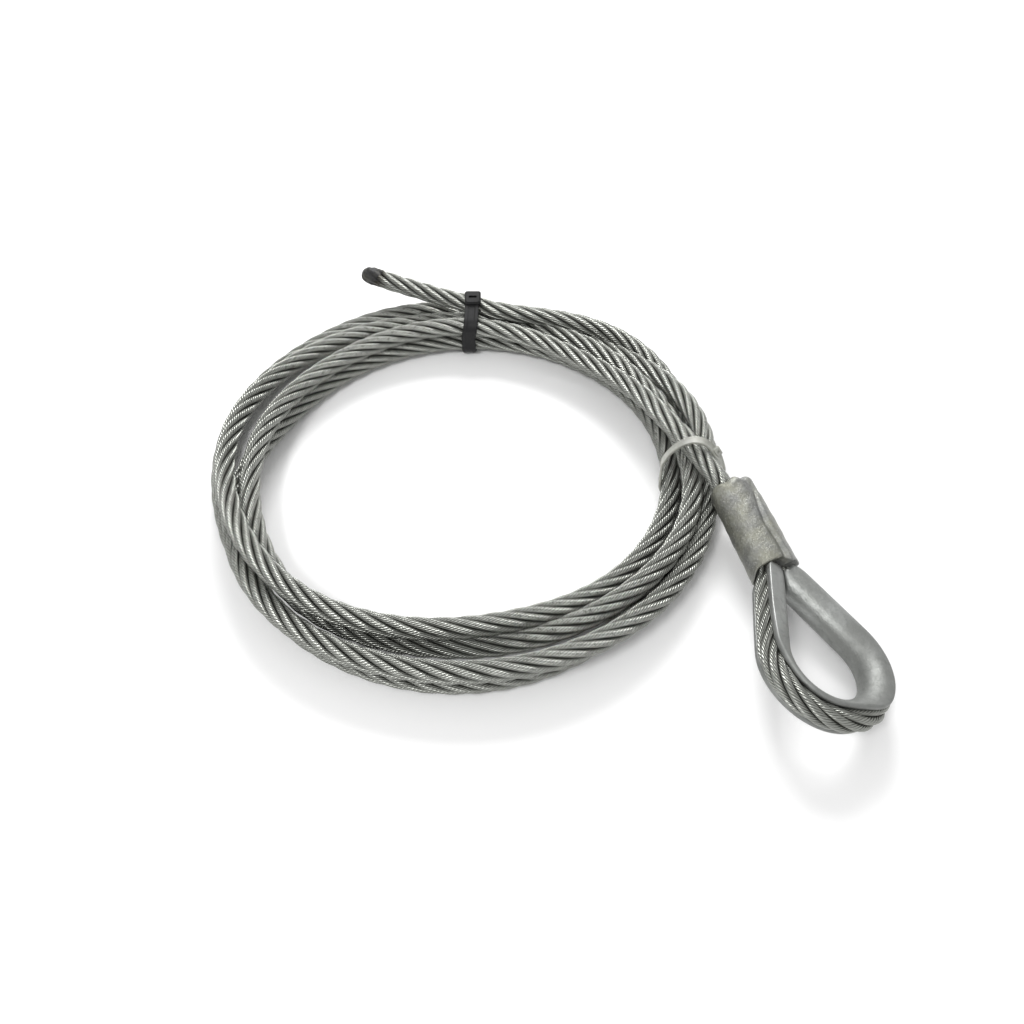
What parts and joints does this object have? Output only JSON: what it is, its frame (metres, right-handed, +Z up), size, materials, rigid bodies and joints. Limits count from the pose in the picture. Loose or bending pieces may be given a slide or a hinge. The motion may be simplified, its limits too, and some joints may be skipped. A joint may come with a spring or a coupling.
{
  "type": "wire rope assembly with a thimble eye",
  "caption": "Coiled steel wire rope with a thimble eye: a teardrop thimble held by a pressed ferrule, a fused free end, and cable ties round the coil.",
  "frame": {"origin": "bottom centre of the box round the thimble, ferrule and eye rope, on the surface that the rope lies on", "axes": "+X from the ferrule to the crown of the eye, +Z up off the surface"},
  "size_m": [0.3152, 0.2719, 0.0358],
  "materials": {
    "galvanised_rope": "galvanised steel wire, lightly greased",
    "galvanised_thimble": "zinc plated, softly polished",
    "pressed_aluminium": "matt, with fine bright specks",
    "burnt_steel": "melted and burnt, rough",
    "black_nylon": "satin moulded nylon",
    "clear_nylon": "natural translucent nylon"
  },
  "bodies": {
    "root": {"thimble": "galvanised_thimble", "ferrule": "pressed_aluminium", "eye_core": "galvanised_rope", "eye_strand_1": "galvanised_rope", "eye_strand_2": "galvanised_rope", "eye_strand_3": "galvanised_rope", "eye_strand_4": "galvanised_rope", "eye_strand_5": "galvanised_rope", "eye_strand_6": "galvanised_rope", "rope_lead": "galvanised_rope", "rope_coil": "galvanised_rope", "rope_tail": "galvanised_rope", "fused_tip": "burnt_steel", "black_tie": "black_nylon", "white_tie": "clear_nylon"}
  },
  "joints": []
}
